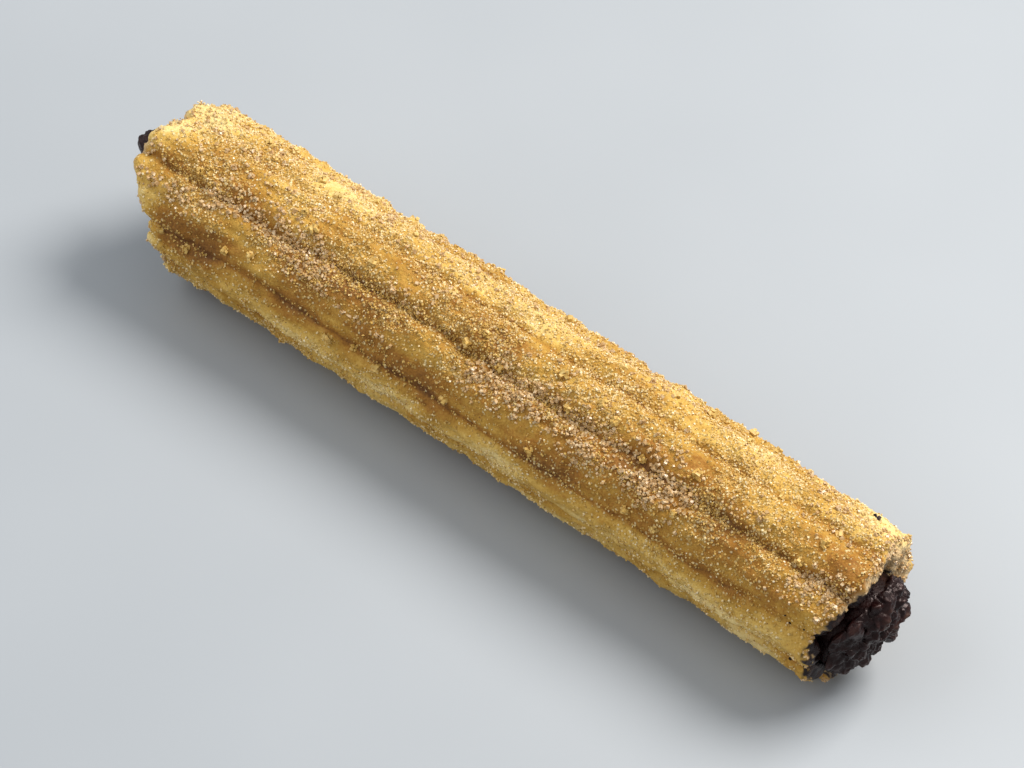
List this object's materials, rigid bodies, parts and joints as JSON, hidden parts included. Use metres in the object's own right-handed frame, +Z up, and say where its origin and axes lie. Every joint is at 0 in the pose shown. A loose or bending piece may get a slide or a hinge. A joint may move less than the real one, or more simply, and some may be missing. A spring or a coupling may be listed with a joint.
{
  "type": "chocolate filled churro",
  "caption": "Ridged fried dough tube strewn with coarse sugar, filled right through with chocolate that stands out of both torn ends in a lumpy mound.",
  "frame": {"origin": "middle of the churro's box, on the surface that it lies on", "axes": "+X along the churro towards the end where the filling stands out most, +Z up"},
  "size_m": [0.1378, 0.0264, 0.0254],
  "materials": {
    "fried_dough": "matte",
    "chocolate": "glossy"
  },
  "bodies": {
    "root": {"dough_shell": "fried_dough", "chocolate_filling": "chocolate"}
  },
  "joints": []
}
